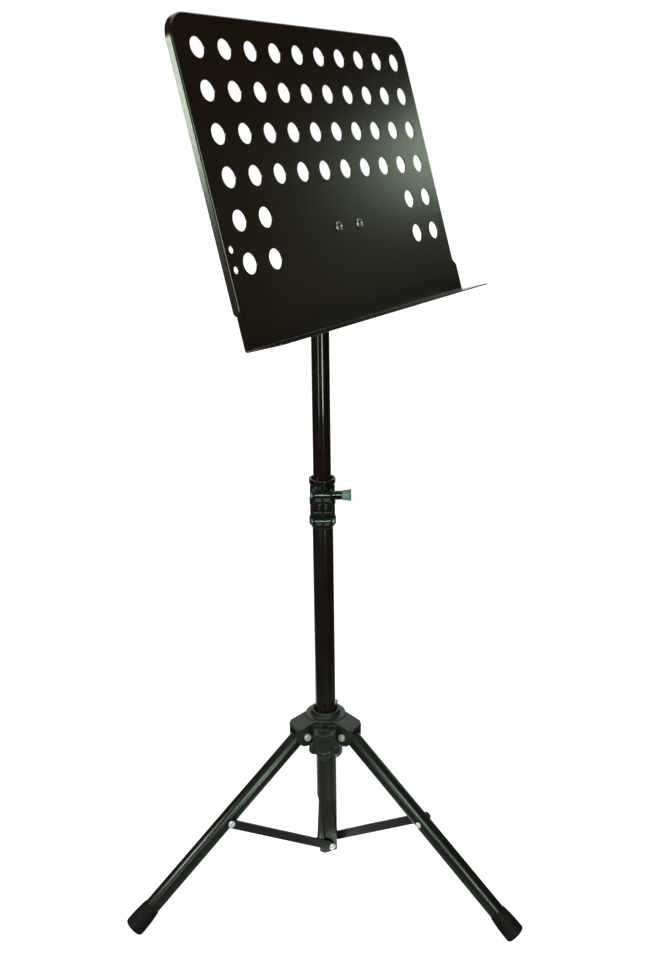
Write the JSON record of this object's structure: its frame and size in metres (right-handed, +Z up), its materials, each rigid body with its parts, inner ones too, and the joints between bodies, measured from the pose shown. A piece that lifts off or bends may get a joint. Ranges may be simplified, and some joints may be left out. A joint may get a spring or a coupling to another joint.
{
  "type": "music stand",
  "caption": "Folding tripod music stand with a perforated sheet-metal desk, folded lip, tilting head and height-adjustable two-tube mast.",
  "frame": {"origin": "on the floor, on the axis of the mast", "axes": "+Z up along the mast; the desk faces -Y and one leg points along -Y; +X to the right as the reader sees the desk from behind the camera side of -Y"},
  "size_m": [0.476, 0.4062, 1.0474],
  "materials": {
    "desk_coat": "fine-textured satin black powder coat",
    "mast_gloss": "gloss black coat",
    "mast_satin": "satin black coat",
    "leg_satin": "satin black coat",
    "strap_black": "semi-matt black coat",
    "moulded_black": "fine-grained dark moulded nylon",
    "clamp_black": "smooth dark moulded nylon with soft sheen",
    "knob_grey": "grey-green moulded nylon",
    "bright_zinc": "bright zinc-plated steel",
    "yellow_zinc": "yellow passivated plating",
    "foot_rubber": "black rubber with fine lengthwise ribs",
    "guide_nylon": "plain grey nylon"
  },
  "bodies": {
    "stand_base": {"lower_tube": "mast_satin", "base_plug": "moulded_black", "base_rivets": "bright_zinc", "clamp_collar": "clamp_black", "clamp_screw": "bright_zinc", "clamp_nuts": "bright_zinc"},
    "hub": {"hub": "moulded_black", "hub_bolts": "bright_zinc", "hub_nuts": "yellow_zinc", "lock_nut": "bright_zinc"},
    "hub_lock": {"lock_stud": "bright_zinc", "lock_knob": "moulded_black"},
    "height_clamp": {"clamp_stud": "bright_zinc", "clamp_knob": "knob_grey"},
    "mast_guide": {"mast_bush": "guide_nylon"},
    "mast": {"upper_tube": "mast_gloss", "tilt_head": "moulded_black"},
    "desk": {"desk_panel": "desk_coat", "desk_screws": "bright_zinc", "desk_nuts": "bright_zinc", "desk_bracket": "strap_black", "tilt_bolt": "bright_zinc"},
    "tilt_knob": {"tilt_knob": "moulded_black"},
    "leg_front": {"leg_front": "leg_satin", "leg_rivet_front": "bright_zinc", "foot_front": "foot_rubber"},
    "brace_front": {"brace_front": "strap_black", "brace_cap_front": "bright_zinc"},
    "leg_left": {"leg_left": "leg_satin", "leg_rivet_left": "bright_zinc", "foot_left": "foot_rubber"},
    "brace_left": {"brace_left": "strap_black", "brace_cap_left": "bright_zinc"},
    "leg_right": {"leg_right": "leg_satin", "leg_rivet_right": "bright_zinc", "foot_right": "foot_rubber"},
    "brace_right": {"brace_right": "strap_black", "brace_cap_right": "bright_zinc"}
  },
  "joints": [
    {"name": "hub_slide", "type": "slide", "parent": "stand_base", "child": "hub", "axis": [0, 0, 1], "range_m": [0, 0.1244]},
    {"name": "leg_front_fold", "type": "hinge", "parent": "hub", "child": "leg_front", "pos_m": [0, -0.033, 0.19755], "axis": [1, 0, 0], "range_deg": [-0.1, 50.14]},
    {"name": "brace_front_fold", "type": "hinge", "parent": "stand_base", "child": "brace_front", "pos_m": [0, 0, 0.0357], "axis": [-1, 0, 0], "range_deg": [-0.1, 48.77]},
    {"name": "leg_left_fold", "type": "hinge", "parent": "hub", "child": "leg_left", "pos_m": [-0.02858, 0.0165, 0.19755], "axis": [-0.5, -0.866, 0], "range_deg": [-0.1, 50.14]},
    {"name": "brace_left_fold", "type": "hinge", "parent": "stand_base", "child": "brace_left", "pos_m": [0, 0, 0.0357], "axis": [0.5, 0.866, 0], "range_deg": [-0.1, 48.77]},
    {"name": "leg_right_fold", "type": "hinge", "parent": "hub", "child": "leg_right", "pos_m": [0.02858, 0.0165, 0.19755], "axis": [-0.5, 0.866, 0], "range_deg": [-0.1, 50.14]},
    {"name": "brace_right_fold", "type": "hinge", "parent": "stand_base", "child": "brace_right", "pos_m": [0, 0, 0.0357], "axis": [0.5, -0.866, 0], "range_deg": [-0.1, 48.77]},
    {"name": "hub_lock_turn", "type": "hinge", "parent": "hub", "child": "hub_lock", "pos_m": [0, 0, 0.19455], "axis": [-0.866, -0.5, 0], "range_deg": [0, 540]},
    {"name": "height_clamp_turn", "type": "hinge", "parent": "stand_base", "child": "height_clamp", "pos_m": [-0.01382, -0.00884, 0.5044], "axis": [0.5388, -0.8425, 0], "range_deg": [0, 540]},
    {"name": "mast_height", "type": "slide", "parent": "stand_base", "child": "mast_guide", "axis": [0, 0, 1], "range_m": [-0.185, 0.13]},
    {"name": "mast_swivel", "type": "hinge", "parent": "mast_guide", "child": "mast", "pos_m": [0, 0, 0.3], "axis": [0, 0, 1], "continuous": true},
    {"name": "desk_tilt", "type": "hinge", "parent": "mast", "child": "desk", "pos_m": [0, 0, 0.8142], "axis": [1, 0, 0], "range_deg": [-70, 15]},
    {"name": "tilt_knob_turn", "type": "hinge", "parent": "desk", "child": "tilt_knob", "pos_m": [0.02, 0, 0.8142], "axis": [1, 0, 0], "range_deg": [0, 360]}
  ],
  "couplings": [
    {"joint": "leg_front_fold", "follows": "hub_slide", "rad_per_m": 7.0206},
    {"joint": "brace_front_fold", "follows": "hub_slide", "rad_per_m": 6.8287},
    {"joint": "leg_left_fold", "follows": "hub_slide", "rad_per_m": 7.0206},
    {"joint": "brace_left_fold", "follows": "hub_slide", "rad_per_m": 6.8287},
    {"joint": "leg_right_fold", "follows": "hub_slide", "rad_per_m": 7.0206},
    {"joint": "brace_right_fold", "follows": "hub_slide", "rad_per_m": 6.8287}
  ]
}
